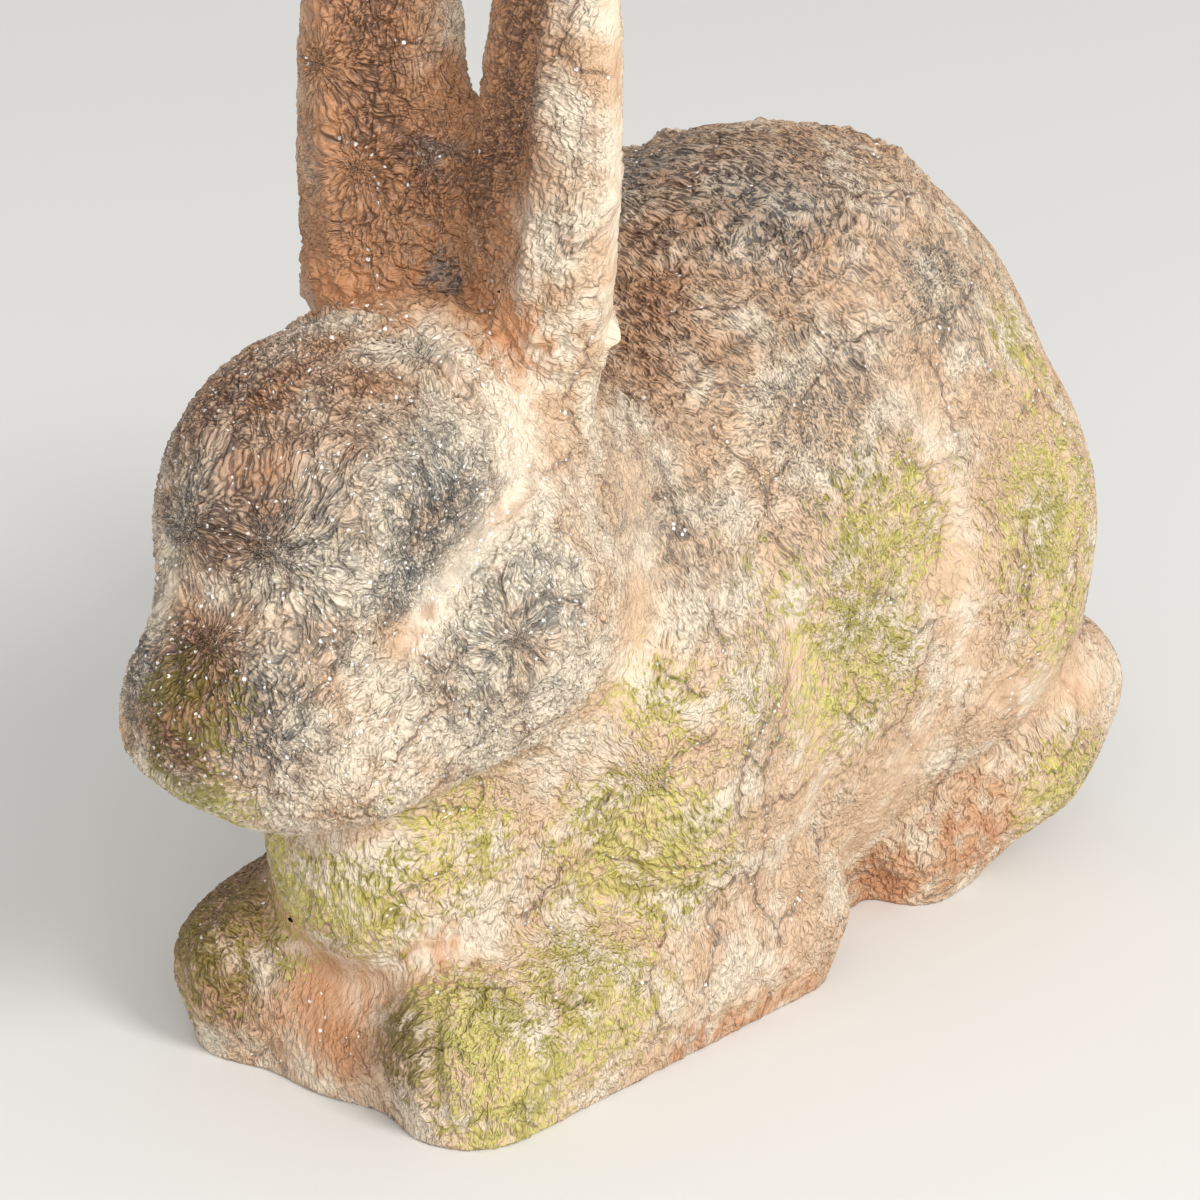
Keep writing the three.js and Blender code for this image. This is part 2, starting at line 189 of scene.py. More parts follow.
def head(p, m):
    """Skull, brow, muzzle, lips, jaw and cheeks, with the folds over the eyes."""
    d = soft_min(skull(p), ellipsoid(p, HEAD + (0, -31, -8), (46, 36, 50), -14), FOLD)
    d = soft_min(d, ellipsoid(p, HEAD + (0, -51, -45), (38, 32, 31)), FOLD)
    d = soft_min(d, ellipsoid(m, HEAD + (12, -53, -55), (27, 25, 15)), CREASE)
    d = soft_min(d, ellipsoid(m, HEAD + (12, -26, -50), (32, 44, 28)), FOLD)
    d = soft_min(d, ellipsoid(m, HEAD + (24, 2, -32), (35, 48, 40)), CREASE)
    return grooved(m, d, [HEAD + (52, 4, 25), HEAD + (53, -35, 2), HEAD + (44, -59, -30)], 12)


def ears(m):
    """A leaf each, hollowed in front, with a web between their lower halves."""
    leaf = ellipsoid(m, HEAD + (26.5, 26, 72), (24, 14, 92), -3, 1.5, -14)
    web = ellipsoid(m, HEAD + (0, 32, 43), (30, 9, 46))
    front = ellipsoid(m, HEAD + (20, 6, 96), (17, 11, 66), -3, 1.5, -14)
    return carve(soft_min(leaf, web, CREASE), front, CREASE)


def rabbit(p):
    """The whole outside, cut flat at the ground, with a pocket for the slab underneath."""
    s = standing(p)
    m = both_sides(s)
    d = forelegs(s, m, hindquarters(s, m, torso(s)))
    d = soft_min(soft_min(d, neck(s), FOLD), head(s, m), CREASE)
    d = soft_min(d, ears(m), HEAD_FOLD)
    pocket = np.maximum(trunk(p) + WALL - SLAB_PLAY, p[:, 2] - SLAB_THICKNESS - SLAB_PLAY)
    return np.maximum(np.maximum(d, -p[:, 2]), -pocket)


def in_chunks(form, p, size=200_000):
    """A form's distances, worked out for some of the points at a time."""
    return np.concatenate([form(p[i : i + size]) for i in range(0, len(p), size)])


def slide(form, p, turns=2, nudge=0.25):
    """Moves points along the form's slope, found from forward steps, until they lie on it."""
    for _ in range(turns):
        here = in_chunks(form, p)
        slope = np.empty_like(p)
        for axis in range(3):
            step = np.zeros(3, p.dtype)
            step[axis] = nudge
            slope[:, axis] = (in_chunks(form, p + step) - here) / nudge
        square = np.maximum((slope**2).sum(1), 0.25)
        p = p - (np.clip(here, -2, 2) / square)[:, None] * slope
    return p


def lattice_skin(form, low, high, step):
    """Quads round a form: a point in each lattice cell that the form passes through, the mean of
    its crossings on the cell's edges, and a quad round each lattice edge that it crosses.
    Gives the points, the quads, and the lowest lattice row of each quad along Y and along Z."""
    axes = [np.arange(a, b + step, step, dtype=np.float32) for a, b in zip(low, high)]
    shape = tuple(len(a) for a in axes)
    grid = np.stack(np.meshgrid(*axes, indexing="ij"), -1).reshape(-1, 3)
    value = in_chunks(form, grid).reshape(shape)
    inside = value < 0
    cells = tuple(n - 1 for n in shape)
    total = np.zeros(cells + (3,), np.float32)
    count = np.zeros(cells, np.int32)
    crossed = []
    for d in range(3):
        near = [slice(None)] * 3
        far = [slice(None)] * 3
        near[d], far[d] = slice(0, -1), slice(1, None)
        a, b = value[tuple(near)], value[tuple(far)]
        flip = inside[tuple(near)] != inside[tuple(far)]
        crossed.append(flip)
        share = np.where(flip, a / np.where(flip, a - b, 1), 0)
        place = np.stack(np.meshgrid(*[np.arange(n) for n in flip.shape], indexing="ij"), -1)
        place = place.astype(np.float32)
        place[..., d] += share
        e, f = (d + 1) % 3, (d + 2) % 3
        for m in (0, 1):
            for n in (0, 1):
                # The cell on this side of the edge, where there is one
                take, put = [slice(None)] * 3, [slice(None)] * 3
                for axis, shift in ((e, m), (f, n)):
                    size = flip.shape[axis]
                    take[axis] = slice(shift, size - 1 + shift)
                    put[axis] = slice(0, size - 1)
                part = flip[tuple(take)]
                total[tuple(put)] += np.where(part[..., None], place[tuple(take)], 0)
                count[tuple(put)] += part
    used = count > 0
    number = np.cumsum(used.ravel()).reshape(cells) - 1
    points = total[used] / count[used][:, None] * step + np.asarray(low, np.float32)
    quads, rows_y, rows_z = [], [], []
    for d in range(3):
        e, f = (d + 1) % 3, (d + 2) % 3
        at = np.argwhere(crossed[d])
        at = at[(at[:, e] > 0) & (at[:, f] > 0)]
        ring = []
        for m, n in ((0, 0), (1, 0), (1, 1), (0, 1)):
            cell = at.copy()
            cell[:, e] -= m
            cell[:, f] -= n
            ring.append(number[tuple(cell.T)])
        ring = np.stack(ring, 1)
        outward = inside[tuple(at.T)]
        ring[~outward] = ring[~outward][:, ::-1]
        quads.append(ring)
        lowest = at.copy()
        lowest[:, e] -= 1
        lowest[:, f] -= 1
        rows_y.append(lowest[:, 1])
        rows_z.append(lowest[:, 2])
    return points, np.concatenate(quads), np.concatenate(rows_y), np.concatenate(rows_z)


def halve(points, quads):
    """Each quad becomes four: its middle and the middles of its sides are added."""
    following = np.roll(quads, -1, axis=1)
    low, high = np.minimum(quads, following), np.maximum(quads, following)
    key = low.astype(np.int64) * len(points) + high
    edges, which = np.unique(key.ravel(), return_inverse=True)
    which = which.reshape(quads.shape)
    first, second = edges // len(points), edges % len(points)
    middles = (points[first] + points[second]) / 2
    centres = points[quads].mean(1)
    side = which + len(points)
    centre = np.arange(len(quads)) + len(points) + len(edges)
    parts = [
        np.stack([quads[:, i], side[:, i], centre, side[:, i - 1]], 1) for i in range(4)
    ]
    return np.concatenate([points, middles, centres]), np.stack(parts, 1).reshape(-1, 4)


def point_normals(points, quads):
    """The mean of the faces' own normals round each point, weighted by their area."""
    a, b = points[quads[:, 2]] - points[quads[:, 0]], points[quads[:, 3]] - points[quads[:, 1]]
    face = np.cross(a, b)
    total = np.stack(
        [
            np.bincount(quads.ravel(), np.repeat(face[:, i], 4), len(points))
            for i in range(3)
        ],
        1,
    )
    return total / np.maximum(np.linalg.norm(total, axis=1), 1e-9)[:, None]


def scramble(x, y, z):
    """Mixes three whole numbers into one, by turning and subtracting their bits. The start and the
    turns are those of the shader's own noise, so that the two agree."""
    start = np.uint32(0xDEADBEEF + (3 << 2) + 13)
    a, b, c = start + x, start + y, start + z

    def turn(value, bits):
        return (value << np.uint32(bits)) | (value >> np.uint32(32 - bits))

    c = (c ^ b) - turn(b, 14)
    a = (a ^ c) - turn(c, 11)
    b = (b ^ a) - turn(a, 25)
    c = (c ^ b) - turn(b, 16)
    a = (a ^ c) - turn(c, 4)
    b = (b ^ a) - turn(a, 14)
    return (c ^ b) - turn(b, 24)


# Brings the noise to about -1 and 1, as in the shader
NOISE_SCALE = 0.982


def noise(p):
    """Smooth noise between about -1 and 1, the same as the shader's noise without detail: at each
    corner of the cell a slope picked by its number, blended with a fifth-power ease."""
    p = np.asarray(p, np.float32)
    cell = np.floor(p)
    f = p - cell
    ease = f**3 * (f * (f * 6 - 15) + 10)
    whole = cell.astype(np.int64).astype(np.uint32)
    total = np.zeros(len(p), np.float32)
    for corner in range(8):
        step = np.array([corner & 1, (corner >> 1) & 1, (corner >> 2) & 1])
        h = scramble(*(whole + step.astype(np.uint32)).T) & np.uint32(15)
        q = f - step
        u = np.where(h < 8, q[:, 0], q[:, 1])
        v = np.where(h < 4, q[:, 1], np.where((h == 12) | (h == 14), q[:, 0], q[:, 2]))
        slope = np.where(h & 1, -u, u) + np.where(h & 2, -v, v)
        total += slope * np.where(step, ease, 1 - ease).prod(1)
    return total * NOISE_SCALE


# The coat's pattern, in millimetres. Each row is a noise: how far it repeats along X, Y and Z, and
# where it starts. The shader and the meshes read the same rows at the same drawn-out places.
SWIRL_REACH = 8.0
SWIRLS = [
    ((34, 34, 34), (3.1, 7.7, 1.9)), ((34, 34, 34), (9.4, 2.2, 6.6)),
    ((34, 34, 34), (5.8, 4.5, 8.3)),
]
CURL_REACH = 1.3
CURLS = [((5, 5, 5), (2.7, 0.4, 5.2)), ((5, 5, 5), (7.5, 3.8, 1.1)), ((5, 5, 5), (4.2, 9.6, 2.5))]
STROKES = ((0.6, 0.6, 1.9), (1.3, 5.1, 7.2))
FAN_STROKES = ((0.9, 0.9, 0.9), (5.5, 8.8, 0.7))
BROAD_STROKES = ((1.4, 1.4, 3.8), (6.3, 2.9, 4.4))
WRINKLES = ((1.7, 1.7, 2.6), (0.6, 6.1, 9.2))

# Cells of the paint between cracks: how wide they are along X, Y and Z
PLATES = (3.2, 3.2, 4.2)
SHEETS = (26.0, 26.0, 40.0)

# The strokes run over the back and down the flanks, round an axis this high over the ground
AXIS_HEIGHT = 40.0
AXIS_RADIUS = 110.0

# Knots of the paint where strokes meet and fan out: the place and how far the strokes reach
FANS = [
    ((12, -128, 164), 25), ((2, -137, 141), 24), ((55, -84, 137), 13), ((18, -76, 201), 13),
    ((-36, -51, 257), 15), ((-25, -50, 232), 13), ((57, -38, 86), 14),
]
FAN_PULL = 0.55
FAN_HEART = 0.16
MIRRORED_FROM = 10


def read_noise(row, p):
    """The noise of a pattern row at each point."""
    repeat, start = row
    return noise(p / np.asarray(repeat, np.float32) + np.asarray(start, np.float32))


def both_fans():
    """The fans, with those that lie well to the left mirrored."""
    return FANS + [((-x, y, z), reach) for (x, y, z), reach in FANS if x > MIRRORED_FROM]


def wound(p):
    """A place as its distance from the back's axis, its Y, and its arc round that axis."""
    across, up = p[:, 0], p[:, 2] - AXIS_HEIGHT
    arc = np.arctan2(across, up) * AXIS_RADIUS
    return np.stack([np.hypot(across, up), p[:, 1], arc], 1).astype(np.float32)


def draw_out(p, fans):
    """Where the pattern is read for each point, and how near it lies to a fan's heart. The place is
    swirled and curled. Near a fan it is pushed out from the heart by a power of its distance, so
    that whatever is read there is drawn out along the lines through the heart."""
    q = p + SWIRL_REACH * np.stack([read_noise(row, p) for row in SWIRLS], 1)
    q = q + CURL_REACH * np.stack([read_noise(row, p) for row in CURLS], 1)
    fanned = np.zeros(len(p), np.float32)
    for centre, reach in fans:
        arm = p - np.asarray(centre, np.float32)
        share = np.linalg.norm(arm, axis=1) / reach
        near = share < 1
        push = np.maximum(share[near], FAN_HEART) ** -FAN_PULL - 1
        q[near] += arm[near] * push[:, None]
        fanned[near] = np.maximum(fanned[near], 1 - share[near] ** 2)
    return q.astype(np.float32), fanned


def near_path(p, path):
    """Distance from each point to a path of straight runs, or to its only point."""
    path = np.asarray(path, np.float32).reshape(-1, 3)
    if len(path) == 1:
        return np.linalg.norm(p - path[0], axis=1)
    runs = [limb(p, a, b, 0, 0) for a, b in zip(path, path[1:])]
    return np.min(runs, axis=0)


def marks(p, rows):
    """The bells round places or routes: for each row its radius and strength. A row whose first
    X is below zero lies on the right side alone, and every other one on both sides."""
    m = both_sides(p)
    for path, radius, strength in rows:
        lone = np.ravel(path)[0] < 0
        yield strength * np.exp(-((near_path(p if lone else m, path) / radius) ** 2))


def patch(p, rows):
    """How strongly a wash lies at each point."""
    return np.max(list(marks(p, rows)), axis=0).astype(np.float32)


# Washes, wear and painted shade: place or route, radius and strength. The brown and orange washes
# are partly paint and partly painted shade on the faces turned from the light and in the hollows
SLATE = [
    ((40, -95, 172), 27, 0.85), ((38, -103, 157), 17, 0.85), ((18, -124, 168), 26, 0.7),
    ((19, -140, 128), 22, 0.8), ((30, -124, 146), 20, 0.6), ((55, -76, 144), 24, 0.65),
    ((52, -88, 132), 25, 0.65), ((45, -89, 155), 5, 1.0), ((18, -78, 200), 14, 0.4),
    ((-6, -43, 237), 8, 0.7), ((-2, -43, 208), 9, 0.9), ((38, -51, 240), 16, 0.35),
    ((23, 57, 205), 32, 0.9), ((57, 92, 182), 28, 0.7), ((58, 35, 164), 46, 0.6),
    ((70, 10, 125), 42, 0.45), ((52, -20, 150), 30, 0.6), ((70, 0, 100), 26, 0.45),
    ((-20, -98, 30), 9, 0.8), ((44, -100, 32), 9, 0.6),
]
# Brown wash: brown paint on the brow and the back, and painted shade on the far ear, the near ear's inner
# face, the far paw, the near paw and under the nose
UMBER_AND_PAINTED_SHADE = [
    ((14, -103, 198), 30, 0.7), ((-14, -108, 190), 38, 0.85), ((2, -130, 168), 28, 0.8),
    ((0, -142, 132), 22, 1.0), ((-35, -50, 292), 28, 0.8), ((-22, -50, 262), 28, 0.55),
    ([(8, -44, 232), (23, -48, 250), (26, -49, 290)], 16, 0.85), ((-20, -48, 225), 22, 0.6),
    ((-46, -84, 36), 34, 1.1), ((-4, -144, 116), 18, 1.0), ((30, -104, 24), 18, 0.9),
    ((0, 62, 214), 64, 1.0), ((0, 120, 190), 54, 0.75), ((16, 7, 184), 38, 0.9),
]
# Orange wash: orange paint, and painted warm shade on the ear fronts, the web between the ears, the brow,
# the far paw and the chest
AMBER_AND_PAINTED_SHADE = [
    ([(-26, -50, 205), (-26, -50, 300)], 28, 1.0), ([(0, -42, 200), (0, -40, 250)], 20, 1.0),
    ([(16, -46, 210), (25, -48, 310)], 18, 1.0), ((0, -112, 188), 46, 0.6),
    ((0, -142, 128), 26, 0.8), ((0, -95, 22), 24, 0.75), ((-40, -80, 30), 34, 0.9),
    ((14, 12, 184), 36, 0.5), ((0, -75, 60), 26, 0.4), ((20, 50, 205), 50, 0.3),
]
MOSS = [
    ((4, -144, 126), 17, 0.9), ((6, -140, 103), 16, 0.9), ((12, -99, 56), 20, 0.95),
    ((31, -83, 73), 26, 0.75), ((62, -37, 106), 24, 0.6), ((57, -38, 63), 32, 0.9),
    ((60, -10, 100), 30, 0.6), ((75, 45, 125), 36, 0.7), ((74, 28, 98), 38, 0.75),
    ((66, 6, 124), 22, 0.5), ((87, 106, 118), 38, 0.75), ((89, 111, 91), 34, 0.65),
    ((67, 117, 157), 26, 0.65), ((70, 150, 110), 40, 0.6), ((84, 123, 27), 24, 0.85),
    ((48, -96, 33), 22, 1.0), ((59, -90, 14), 26, 0.95), ((60, -59, 30), 32, 0.75),
    ((36, -105, 31), 22, 1.0), ((-30, -88, 38), 26, 0.9), ((40, -118, 100), 16, 0.4),
]
BARE = [
    ([(45, -26, 158), (55, -37, 132), (55, -44, 107)], 8, 0.7),
    ([(68, 9, 120), (73, 7, 94), (68, 21, 58)], 8, 0.5),
    ([(72, 60, 165), (77, 71, 124), (78, 73, 101), (78, 77, 79)], 8, 0.65),
    ([(82, 89, 70), (82, 129, 57)], 10, 0.9),
    ([(58, 58, 29), (73, 59, 57)], 14, 0.8),
    ([(44, -68, 168), (44, -84, 161), (42, -96, 151), (39, -106, 139)], 5, 1.0),
    ([(36, -60, 188), (44, -66, 174)], 10, 0.8),
    ([(0, -95, 20), (8, -85, 40)], 13, 0.9),
    ((27, -84, 44), 10, 0.7),
    ([(49, -40, 205), (50, -38, 300)], 6, 1.0),
    ([(34, -50, 200), (8, -60, 202)], 8, 0.6),
    ([(-50, -38, 205), (-49, -40, 300)], 6, 0.8),
]
CLAY = [
    ((28, -53, 200), 12, 0.8), ((3, -66, 203), 10, 0.5), ((70, 95, 20), 18, 0.8),
    ((53, 77, 8), 13, 1.0), ([(62, -30, 4), (66, 30, 5)], 7, 0.7), ((0, -95, 20), 18, 0.45),
    ((27, -84, 44), 9, 0.7), ((41, -100, 146), 5, 0.5),
]

PATCHES = {
    "slate": SLATE, "umber_and_painted_shade": UMBER_AND_PAINTED_SHADE, "amber_and_painted_shade": AMBER_AND_PAINTED_SHADE, "moss": MOSS, "bare": BARE, "clay": CLAY,
}

# Cut details: route, radius and depth below the coat
CUTS = [
    ([(44, -66, 172), (44, -78, 166), (42, -92, 157), (38, -107, 140)], 3.2, 1.6),
    ([(46, -83, 160), (46, -89, 155), (45, -95, 150)], 3.2, 2.0),
    ([(3, -145, 130), (7, -142, 134), (11, -138, 139)], 1.8, 1.8),
    ([(0, -148, 124), (0, -147, 106)], 1.8, 1.0),
    ([(0, -147, 104), (7, -144, 102), (14, -142, 102), (22, -142, 109), (24, -140, 116)], 1.8, 1.8),
    ([(35, -9, 170), (36, 13, 176), (42, 37, 184), (44, 54, 191)], 1.3, 1.3),
    ([(45, -107, 10), (42, -104, 28), (37, -97, 40)], 3.0, 2.4),
    ([(57, -101, 10), (55, -98, 27), (50, -88, 40)], 2.4, 1.4),
    ([(-22, -110, 14), (-21, -101, 34), (-22, -88, 43)], 3.4, 3.2),
    ([(-41, -106, 14), (-42, -100, 30), (-40, -90, 42)], 2.4, 1.6),
    ([(47, -45, 292), (48, -46, 263), (48, -48, 232)], 1.1, 0.9),
    ([(54, -47, 86), (53, -48, 81)], 2.2, 2.4),
    ([(53, 78, 10)], 4.2, 3.2),
    ([(81, 102, 59)], 2.0, 1.8),
    ([(27, -84, 44)], 1.8, 1.8),
    ([(60, 84, 12)], 2.6, 2.2),
]
# Raised details: route, radius and height over the coat
BUMPS = [
    ([(44, -88, 160), (43, -95, 153), (41, -102, 145)], 2.6, 1.5),
    ([(38, -82, 178), (38, -96, 169), (35, -108, 156)], 7.0, 1.4),
    ([(34, -50, 285), (34, -51, 254), (33, -52, 232), (31, -54, 212)], 3.0, 1.3),
    ([(50, -41, 237)], 2.4, 1.9),
]


# How deep strokes and wrinkles are cut, how much of that a bare place loses, and how far the whole
# coat is lowered, so that its middle height lies on the form
STROKE_DEPTH, WRINKLE_DEPTH = 0.8, 1.0
BARE_LOSS = 0.8
COAT_DROP = 0.1

# Ragged collar of mortar under the ears: its level, spread and height
COLLAR_LEVEL, COLLAR_SPREAD, COLLAR_HEIGHT = 199, 6, 5.0


def smooth_step(value, low, high):
    """Eases from 0 to 1 as the value goes from low to high."""
    share = np.clip((value - low) / (high - low), 0, 1)
    return share * share * (3 - 2 * share)


def blend(share, a, b):
    """What lies a share of the way from a to b."""
    return a + (b - a) * share


def coat_heights(p, q, normals, washes):
    """How far the coat stands proud of the form: brush lumps, broad strokes and wrinkles that fade
    where the coat is bare, a ragged collar of mortar under the ears, and the cut details."""
    lumps = 0.5 * noise(p / 17 + 4.0) + 0.35 * noise(p / 7 + 8.0)
    strokes = blend(washes["over"], read_noise(BROAD_STROKES, q), read_noise(BROAD_STROKES, wound(q)))
    strokes = blend(washes["fanned"], strokes, read_noise(FAN_STROKES, q))
    wrinkle = np.abs(read_noise(WRINKLES, q)) * WRINKLES[0][0]
    stroke_cut = STROKE_DEPTH * smooth_step(strokes, -0.3, 0.35)
    wrinkle_cut = WRINKLE_DEPTH * (1 - smooth_step(wrinkle, 0, 0.6))
    relief = 1 - washes["bare"] * BARE_LOSS
    cut = blend(washes["bold"], stroke_cut, np.maximum(wrinkle_cut, 0.7 * stroke_cut))
    collar = np.exp(-(((p[:, 2] - COLLAR_LEVEL) / COLLAR_SPREAD) ** 2))
    collar = collar * (np.abs(p[:, 0]) < 46) * (p[:, 1] > -75)
    ragged = np.abs(noise(p / 9 + 21.0)) + np.abs(noise(p / 4 + 3.0)) * 0.6
    collar = collar * ragged * COLLAR_HEIGHT
    height = lumps - relief * cut + collar
    height = height - sum(marks(p, CUTS)) + sum(marks(p, BUMPS))
    foot = smooth_step(p[:, 2], 0.2, 5.0)
    under = (normals[:, 2] < -0.8) & (p[:, 2] < SLAB_THICKNESS + 4)
    return np.where(under, 0, (height - COAT_DROP) * foot)


def coat():
    """The whole coat: the lattice's skin, halved and slid back onto the form each time, then
    raised and cut along its normals. Gives points, the form's normals, quads, their rows along Y
    and Z, the washes, and the place where the pattern is read."""
    points, quads, rows_y, rows_z = lattice_skin(rabbit, LATTICE_LOW, LATTICE_HIGH, LATTICE_STEP)
    points = slide(rabbit, points)
    for _ in range(HALVINGS):
        points, quads = halve(points, quads)
        points = slide(rabbit, points)
    repeats = 4**HALVINGS
    rows_y = LATTICE_LOW[1] + np.repeat(rows_y, repeats) * LATTICE_STEP
    rows_z = LATTICE_LOW[2] + np.repeat(rows_z, repeats) * LATTICE_STEP
    points = points.astype(np.float32)
    normals = point_normals(points, quads)
    flow, fanned = draw_out(points, both_fans())
    washes = {name: patch(points, rows) for name, rows in PATCHES.items()}
    washes["fanned"] = fanned
    x, y, z = points.T
    on_head = smooth_step(-y, 40, 62) * smooth_step(z, 84, 100)
    on_ears = smooth_step(z, 200, 214) * smooth_step(-y, 5, 20)
    washes["bold"] = np.maximum(np.maximum(on_head, 0.75 * on_ears), 0.3 * smooth_step(-y, -20, 20))
    low_front = smooth_step(-z, -84, -70) * smooth_step(-y, -30, 10)
    washes["over"] = (1 - low_front).astype(np.float32)
    height = coat_heights(points, flow, normals, washes)
    points = points + normals * height[:, None]
    points[:, 2] = np.maximum(points[:, 2], 0)
    return points, normals, quads, rows_y, rows_z, washes, flow


def turned_in(quads, count):
    """Quads that run inward from the open edges to a second point for each point on them.
    Gives the points on the open edges and the quads, which number the second points from count."""
    runs = np.stack([quads, np.roll(quads, -1, axis=1)], -1).reshape(-1, 2)
    there, back = runs[:, 0] * count + runs[:, 1], runs[:, 1] * count + runs[:, 0]
    rim = runs[~np.isin(there, back)]
    outer, order = np.unique(rim, return_inverse=True)
    inner = count + order.reshape(rim.shape)
    return outer, np.stack([rim[:, 1], rim[:, 0], inner[:, 0], inner[:, 1]], 1)


def coat_piece(name, points, normals, depth, quads, washes, flow, material, replaced):
    """One part of the coat as a closed mesh: its quads, and over each open edge a rim that runs
    inward with a flat face over it."""
    used, index = np.unique(quads, return_inverse=True)
    index = index.reshape(quads.shape)
    outer, rim = turned_in(index, len(used))
    places = np.concatenate([points[used], points[used[outer]] + depth[used[outer]]])
    used = np.concatenate([used, used[outer]])
    index = np.concatenate([index, rim])
    mesh = bpy.data.meshes.new(name)
    mesh.vertices.add(len(used))
    mesh.vertices.foreach_set("co", (places * MM).astype(np.float32).ravel())
    mesh.loops.add(index.size)
    mesh.loops.foreach_set("vertex_index", index.astype(np.int32).ravel())
    mesh.polygons.add(len(index))
    mesh.polygons.foreach_set("loop_start", np.arange(0, index.size, 4, dtype=np.int32))
    mesh.update(calc_edges=True)
    filled = bmesh.new()
    filled.from_mesh(mesh)
    open_edges = [edge for edge in filled.edges if edge.is_boundary]
    if open_edges:
        bmesh.ops.holes_fill(filled, edges=open_edges, sides=0)
        filled.normal_update()
    filled.to_mesh(mesh)
    filled.free()
    for wash, strength in washes.items():
        layer = mesh.attributes.new(wash, "FLOAT", "POINT")
        layer.data.foreach_set("value", strength[used].astype(np.float32))
    layer = mesh.attributes.new("flow", "FLOAT_VECTOR", "POINT")
    layer.data.foreach_set("vector", flow[used].ravel())
    mesh.shade_smooth()
    mesh.normals_split_custom_set_from_vertices(normals[used].tolist())
    mesh.materials.append(material)
    piece = bpy.data.objects.new(name, mesh)
    bpy.context.scene.collection.objects.link(piece)
    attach(piece, "root")
    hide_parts(*replaced)


def srgb(r, g, b):
    """A colour as it is seen, in the light values that a shader takes."""
    return tuple(
        c / 12.92 if c <= 0.04045 else ((c + 0.055) / 1.055) ** 2.4 for c in (r, g, b)
    ) + (1.0,)


class Finish:
    """A material whose nodes are written as sums: most methods add a node and give its output."""

    def __init__(self, name):
        self.material = bpy.data.materials.new(name)
        self.material.use_nodes = True
        self.tree = self.material.node_tree
        self.shader = self.tree.nodes["Principled BSDF"]

    def node(self, kind, **values):
        made = self.tree.nodes.new(kind)
        for name, value in values.items():
            setattr(made, name, value)
        return made

    def plug(self, socket, value):
        if isinstance(value, bpy.types.NodeSocket):
            self.tree.links.new(value, socket)
        else:
            socket.default_value = value

    def math(self, operation, *values, clamp=False):
        made = self.node("ShaderNodeMath", operation=operation, use_clamp=clamp)
        for socket, value in zip(made.inputs, values):
            self.plug(socket, value)
        return made.outputs[0]

    def vector(self, operation, *values, scale=None):
        made = self.node("ShaderNodeVectorMath", operation=operation)
        for socket, value in zip(made.inputs, values):
            self.plug(socket, value)
        if scale is not None:
            self.plug(made.inputs["Scale"], scale)
        return made.outputs[0]

    def scaled(self, value, factor, added):
        """The value times the factor, and what is added to it."""
        return self.math("MULTIPLY_ADD", value, factor, added)

    def place(self):
        """Object coordinates in millimetres."""
        coordinates = self.node("ShaderNodeTexCoord").outputs["Object"]
        return self.vector("SCALE", coordinates, scale=1 / MM)

    def attribute(self, name, output="Fac"):
        return self.node("ShaderNodeAttribute", attribute_name=name).outputs[output]

    def read(self, row, place):
        """The noise of a pattern row, from -1 to 1."""
        repeat, start = row
        spot = self.vector("MULTIPLY", place, tuple(1 / r for r in repeat))
        spot = self.vector("ADD", spot, tuple(start))
        made = self.node("ShaderNodeTexNoise", noise_dimensions="3D")
        self.plug(made.inputs["Vector"], spot)
        made.inputs["Scale"].default_value = 1.0
        made.inputs["Detail"].default_value = 0.0
        made.inputs["Distortion"].default_value = 0.0
        return self.scaled(made.outputs["Fac"], 2.0, -1.0)

    def step(self, value, low, high, start=0.0, end=1.0):
        """Eases from start to end as the value goes from low to high."""
        made = self.node("ShaderNodeMapRange", interpolation_type="SMOOTHSTEP")
        for socket, number in zip(made.inputs, (value, low, high, start, end)):
            self.plug(socket, number)
        return made.outputs["Result"]

    def blend(self, share, a, b):
        made = self.node("ShaderNodeMix", data_type="RGBA")
        self.plug(made.inputs["Factor"], share)
        self.plug(made.inputs["A"], a)
        self.plug(made.inputs["B"], b)
        return made.outputs["Result"]

    def between(self, share, a, b):
        """The number a share of the way from a to b."""
        return self.scaled(self.math("SUBTRACT", b, a), share, a)

    def lines(self, row, place):
        """Distance in millimetres from the lines where a pattern row is zero."""
        return self.math("MULTIPLY", self.math("ABSOLUTE", self.read(row, place)), row[0][0])

    def cells(self, size, place, feature="DISTANCE_TO_EDGE"):
        """Distance in millimetres from the edges, or the hearts, of scattered cells."""
        made = self.node("ShaderNodeTexVoronoi", feature=feature)
        self.plug(made.inputs["Vector"], self.vector("MULTIPLY", place, tuple(1 / s for s in size)))
        made.inputs["Scale"].default_value = 1.0
        return self.math("MULTIPLY", made.outputs["Distance"], size[0])

    def shaken(self, place, repeat, reach):
        """A place moved about by noise, up to about the reach."""
        made = self.node("ShaderNodeTexNoise", noise_dimensions="3D")
        self.plug(made.inputs["Vector"], self.vector("SCALE", place, scale=1 / repeat))
        made.inputs["Scale"].default_value = 1.0
        made.inputs["Detail"].default_value = 1.0
        shift = self.vector("SUBTRACT", made.outputs["Color"], (0.5, 0.5, 0.5))
        return self.vector("ADD", place, self.vector("SCALE", shift, scale=2 * reach))

    def wound(self, place):
        """A place as its distance from the back's axis, its Y, and its arc round that axis."""
        parts = self.node("ShaderNodeSeparateXYZ")
        self.plug(parts.inputs[0], place)
        across, along, up = parts.outputs
        up = self.math("SUBTRACT", up, AXIS_HEIGHT)
        squares = self.scaled(across, across, self.math("MULTIPLY", up, up))
        arc = self.math("MULTIPLY", self.math("ARCTAN2", across, up), AXIS_RADIUS)
        joined = self.node("ShaderNodeCombineXYZ")
        for socket, value in zip(joined.inputs, (self.math("SQRT", squares), along, arc)):
            self.plug(socket, value)
        return joined.outputs[0]
